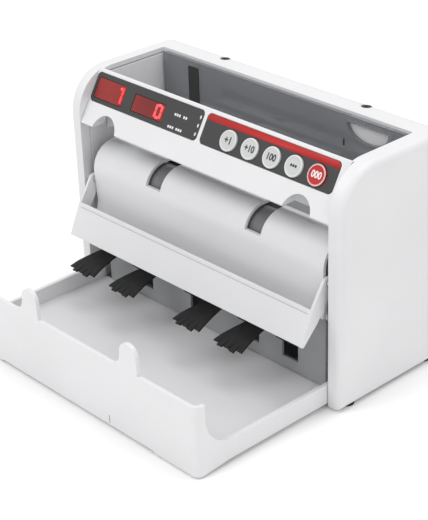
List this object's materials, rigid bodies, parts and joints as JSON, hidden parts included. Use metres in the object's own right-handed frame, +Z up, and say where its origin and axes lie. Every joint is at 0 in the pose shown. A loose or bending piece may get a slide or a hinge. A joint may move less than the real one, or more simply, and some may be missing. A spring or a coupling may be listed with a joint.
{
  "type": "banknote counting machine",
  "caption": "Desktop banknote counter: white housing with sloped display and keypad, top hopper, curved roller cover, press flap and pull-out tray.",
  "frame": {"origin": "middle of the footprint on the table, tray pulled out", "axes": "+X to the machine's own left-to-right width as seen from the front, +Y towards the rear, +Z up; the front faces -Y"},
  "size_m": [0.196, 0.161, 0.1245],
  "materials": {
    "white_plastic": "fine satin moulded ABS",
    "grey_plastic": "satin moulded plastic",
    "smoked_plastic": "clear smoke-tinted acrylic, polished",
    "dark_panel": "printed overlay film, fine texture",
    "red_window": "red display filter",
    "key_plastic": "satin key caps",
    "red_key": "satin key cap",
    "black_plastic": "satin",
    "circuit_board": "solder resist",
    "steel_sheet": "zinc-plated sheet",
    "steel_bar": "ground bar",
    "screw_steel": "black oxide",
    "roller_rubber": "ground rubber",
    "tongue_rubber": "soft black rubber",
    "belt_rubber": "smooth drive belt",
    "foot_rubber": "moulded foot",
    "gear_plastic": "acetal"
  },
  "bodies": {
    "housing": {"housing_shell": "white_plastic", "rear_cover": "white_plastic", "base_plate": "steel_sheet", "header_bezel": "white_plastic", "side_liner_left": "white_plastic", "side_liner_right": "white_plastic", "chassis_plate_left": "steel_sheet", "chassis_plate_right": "steel_sheet", "front_guide_plate": "grey_plastic", "hopper_chute": "white_plastic", "display_panel": "dark_panel", "keypad_panel": "dark_panel", "display_window_left": "red_window", "display_window_right": "red_window", "display_board": "circuit_board", "main_board": "circuit_board", "motor": "steel_bar", "motor_belt": "belt_rubber", "pickup_belt": "belt_rubber", "impeller_belt": "belt_rubber", "dc_inlet": "black_plastic", "rim_screw_left": "screw_steel", "rim_screw_right": "screw_steel", "presser_tongue_1": "tongue_rubber", "presser_tongue_2": "tongue_rubber", "presser_tongue_3": "tongue_rubber", "presser_tongue_4": "tongue_rubber", "foot_front_left": "foot_rubber", "foot_front_right": "foot_rubber", "foot_rear_left": "foot_rubber", "foot_rear_right": "foot_rubber"},
    "tray": {"tray": "white_plastic"},
    "flap": {"press_flap": "white_plastic"},
    "cover": {"curved_cover": "white_plastic"},
    "bill_support": {"bill_support": "smoked_plastic"},
    "power_switch": {"power_switch": "black_plastic"},
    "drive": {"drive_shaft": "steel_bar", "drive_roller_left": "roller_rubber", "drive_roller_right": "roller_rubber", "drive_gear": "gear_plastic", "drive_pulley": "gear_plastic", "transfer_pulley": "gear_plastic"},
    "separator": {"separator_shaft": "steel_bar", "separator_roller": "roller_rubber", "separator_gear": "gear_plastic"},
    "pickup": {"pickup_shaft": "steel_bar", "pickup_roller": "roller_rubber", "pickup_pulley": "gear_plastic"},
    "impeller": {"impeller_shaft": "steel_bar", "impeller_1": "tongue_rubber", "impeller_2": "tongue_rubber", "impeller_3": "tongue_rubber", "impeller_4": "tongue_rubber", "impeller_pulley": "gear_plastic"},
    "motor_rotor": {"motor_pulley": "gear_plastic"},
    "button_plus_1": {"button_plus_1": "key_plastic"},
    "button_plus_10": {"button_plus_10": "key_plastic"},
    "button_plus_100": {"button_plus_100": "key_plastic"},
    "button_function": {"button_function": "key_plastic"},
    "button_reset": {"button_reset": "red_key"}
  },
  "joints": [
    {"name": "tray_slide", "type": "slide", "parent": "housing", "child": "tray", "axis": [0, 1, 0], "range_m": [0, 0.065], "deforming": ["presser_tongue_1", "presser_tongue_2", "presser_tongue_3", "presser_tongue_4"]},
    {"name": "flap_hinge", "type": "hinge", "parent": "housing", "child": "flap", "pos_m": [0, 0.0075, 0.0655], "axis": [1, 0, 0], "range_deg": [0, 24]},
    {"name": "cover_hinge", "type": "hinge", "parent": "housing", "child": "cover", "pos_m": [0, 0.0123, 0.0482], "axis": [1, 0, 0], "range_deg": [0, 28]},
    {"name": "bill_support_slide", "type": "slide", "parent": "housing", "child": "bill_support", "axis": [0, 0, 1], "range_m": [0, 0.045]},
    {"name": "power_rocker", "type": "hinge", "parent": "housing", "child": "power_switch", "pos_m": [-0.044, 0.0765, 0.022], "axis": [1, 0, 0], "range_deg": [0, 8]},
    {"name": "drive_spin", "type": "hinge", "parent": "housing", "child": "drive", "pos_m": [0, 0.0205, 0.071], "axis": [1, 0, 0], "continuous": true},
    {"name": "separator_spin", "type": "hinge", "parent": "housing", "child": "separator", "pos_m": [0, 0.0386, 0.071], "axis": [1, 0, 0], "continuous": true},
    {"name": "pickup_spin", "type": "hinge", "parent": "housing", "child": "pickup", "pos_m": [0, 0.0455, 0.0855], "axis": [1, 0, 0], "continuous": true},
    {"name": "impeller_spin", "type": "hinge", "parent": "housing", "child": "impeller", "pos_m": [0, 0.0205, 0.027], "axis": [1, 0, 0], "continuous": true},
    {"name": "motor_spin", "type": "hinge", "parent": "housing", "child": "motor_rotor", "pos_m": [0, 0.0535, 0.028], "axis": [1, 0, 0], "continuous": true},
    {"name": "key_plus_1_press", "type": "slide", "parent": "housing", "child": "button_plus_1", "axis": [0, 0.8616, -0.5075], "range_m": [0, 0.0008], "stiffness_N_per_m": 400},
    {"name": "key_plus_10_press", "type": "slide", "parent": "housing", "child": "button_plus_10", "axis": [0, 0.8616, -0.5075], "range_m": [0, 0.0008], "stiffness_N_per_m": 400},
    {"name": "key_plus_100_press", "type": "slide", "parent": "housing", "child": "button_plus_100", "axis": [0, 0.8616, -0.5075], "range_m": [0, 0.0008], "stiffness_N_per_m": 400},
    {"name": "key_function_press", "type": "slide", "parent": "housing", "child": "button_function", "axis": [0, 0.8616, -0.5075], "range_m": [0, 0.0008], "stiffness_N_per_m": 400},
    {"name": "key_reset_press", "type": "slide", "parent": "housing", "child": "button_reset", "axis": [0, 0.8616, -0.5075], "range_m": [0, 0.0008], "stiffness_N_per_m": 400}
  ],
  "couplings": [
    {"joint": "separator_spin", "follows": "drive_spin", "ratio": -1.25},
    {"joint": "pickup_spin", "follows": "drive_spin", "ratio": 1},
    {"joint": "impeller_spin", "follows": "drive_spin", "ratio": 1.2},
    {"joint": "motor_spin", "follows": "drive_spin", "ratio": 2}
  ]
}
